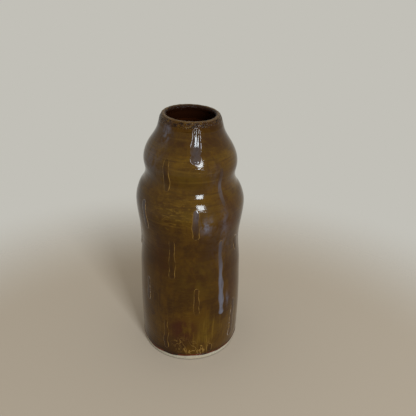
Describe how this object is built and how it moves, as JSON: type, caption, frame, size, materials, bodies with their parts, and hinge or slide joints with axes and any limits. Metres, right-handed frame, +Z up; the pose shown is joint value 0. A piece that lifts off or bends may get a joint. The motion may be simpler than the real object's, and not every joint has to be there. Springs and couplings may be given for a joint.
{
  "type": "stoneware pottery vase",
  "caption": "Tall wheel-thrown stoneware vase with a waist, a groove under the shoulder roll and a small round mouth, in glossy brown glaze with raised runs over a bare clay foot.",
  "frame": {"origin": "centre of the foot, on the surface that the vase stands on", "axes": "+Z up along the axis of the vase; -Y is the side that faces the viewer"},
  "size_m": [0.1048, 0.1058, 0.2505],
  "materials": {
    "clay": "bare fired stoneware, matt and slightly gritty",
    "outer_glaze": "glossy amber-brown and olive glaze with fine throwing rings and mottling",
    "lip_glaze": "paler, thinner glaze over the lip, rough where it has pulled back under it",
    "liner_glaze": "glossy dark brown liner glaze",
    "rolled_edge": "thick dark red-brown rolled edge of the glaze",
    "glaze_runs": "glossy dark brown runs with thin golden edges"
  },
  "bodies": {
    "root": {"stoneware_body": "clay", "outer_glaze": "outer_glaze", "lip_glaze": "lip_glaze", "liner_glaze": "liner_glaze", "foot_glaze_roll": "rolled_edge", "glaze_run_neck_front": "glaze_runs", "glaze_run_shoulder_left": "glaze_runs", "glaze_run_groove_right": "glaze_runs", "glaze_run_belly_front": "glaze_runs", "glaze_run_belly_left": "glaze_runs", "glaze_run_waist_left": "glaze_runs", "glaze_run_waist_side": "glaze_runs", "glaze_run_waist_far_right": "glaze_runs", "glaze_run_long_right": "glaze_runs", "glaze_run_wall_left": "glaze_runs", "glaze_run_wall_front": "glaze_runs", "glaze_run_low_far_right": "glaze_runs", "glaze_run_low_left": "glaze_runs", "glaze_run_foot_front": "glaze_runs", "glaze_run_neck_back": "glaze_runs", "glaze_run_shoulder_back_left": "glaze_runs", "glaze_run_belly_back_right": "glaze_runs", "glaze_run_belly_back": "glaze_runs", "glaze_run_waist_back_left": "glaze_runs", "glaze_run_long_back": "glaze_runs", "glaze_run_wall_right": "glaze_runs", "glaze_run_low_back": "glaze_runs", "glaze_run_low_back_left": "glaze_runs", "glaze_run_foot_back_right": "glaze_runs"}
  },
  "joints": []
}
